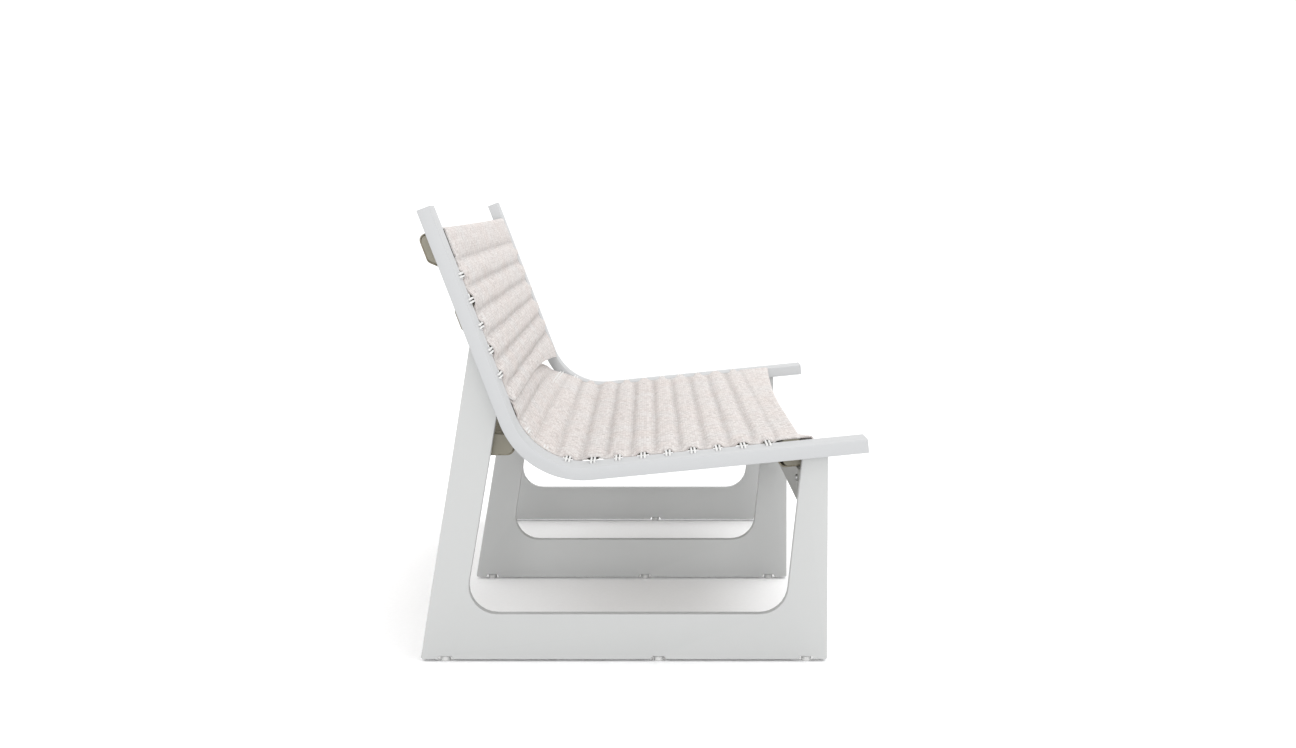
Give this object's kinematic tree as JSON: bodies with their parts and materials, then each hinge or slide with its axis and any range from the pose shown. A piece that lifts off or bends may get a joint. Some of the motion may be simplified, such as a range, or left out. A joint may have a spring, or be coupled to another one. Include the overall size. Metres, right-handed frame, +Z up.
{
  "type": "garden bench",
  "caption": "Low lounge bench: two bent flat side rails on sled leg frames, with fabric seat and back slings carried on cross-running elastic cord loops.",
  "frame": {"origin": "on the floor, under the middle of the bounding box", "axes": "X along the bench's length, -Y towards the front (where a sitter faces), +Z up"},
  "size_m": [1.455, 0.7818, 0.7991],
  "materials": {
    "powder_coat_rail": "satin white powder coat",
    "powder_coat_leg": "satin white powder coat",
    "crossbar_coat": "satin warm grey powder coat",
    "sling_fabric": "open basket-weave outdoor fabric, off-white",
    "elastic_cord": "braided white elastic cord",
    "glide_nylon": "matte light grey nylon",
    "bolt_steel": "stainless"
  },
  "bodies": {
    "root": {"apron_bolt_1": "bolt_steel", "apron_bolt_2": "bolt_steel", "apron_bolt_3": "bolt_steel", "apron_bolt_4": "bolt_steel", "back_cord_1": "elastic_cord", "back_cord_2": "elastic_cord", "back_cord_3": "elastic_cord", "back_cord_4": "elastic_cord", "back_cord_5": "elastic_cord", "back_sling": "sling_fabric", "back_sling_top_pocket": "sling_fabric", "crossbar_front": "crossbar_coat", "crossbar_middle": "crossbar_coat", "crossbar_rear": "crossbar_coat", "crossbar_top": "crossbar_coat", "front_apron_left": "powder_coat_leg", "front_apron_right": "powder_coat_leg", "glide_left_centre": "glide_nylon", "glide_left_front": "glide_nylon", "glide_left_rear": "glide_nylon", "glide_middle_centre": "glide_nylon", "glide_middle_front": "glide_nylon", "glide_middle_rear": "glide_nylon", "glide_right_centre": "glide_nylon", "glide_right_front": "glide_nylon", "glide_right_rear": "glide_nylon", "leg_frame_left": "powder_coat_leg", "leg_frame_middle": "powder_coat_leg", "leg_frame_right": "powder_coat_leg", "seat_cord_01": "elastic_cord", "seat_cord_02": "elastic_cord", "seat_cord_03": "elastic_cord", "seat_cord_04": "elastic_cord", "seat_cord_05": "elastic_cord", "seat_cord_06": "elastic_cord", "seat_cord_07": "elastic_cord", "seat_cord_08": "elastic_cord", "seat_cord_09": "elastic_cord", "seat_rear_cord_1": "elastic_cord", "seat_rear_cord_2": "elastic_cord", "seat_sling": "sling_fabric", "seat_sling_front_pocket": "sling_fabric", "seat_sling_rear": "sling_fabric", "seat_sling_rear_pocket": "sling_fabric", "side_rail_left": "powder_coat_rail", "side_rail_right": "powder_coat_rail"}
  },
  "joints": []
}
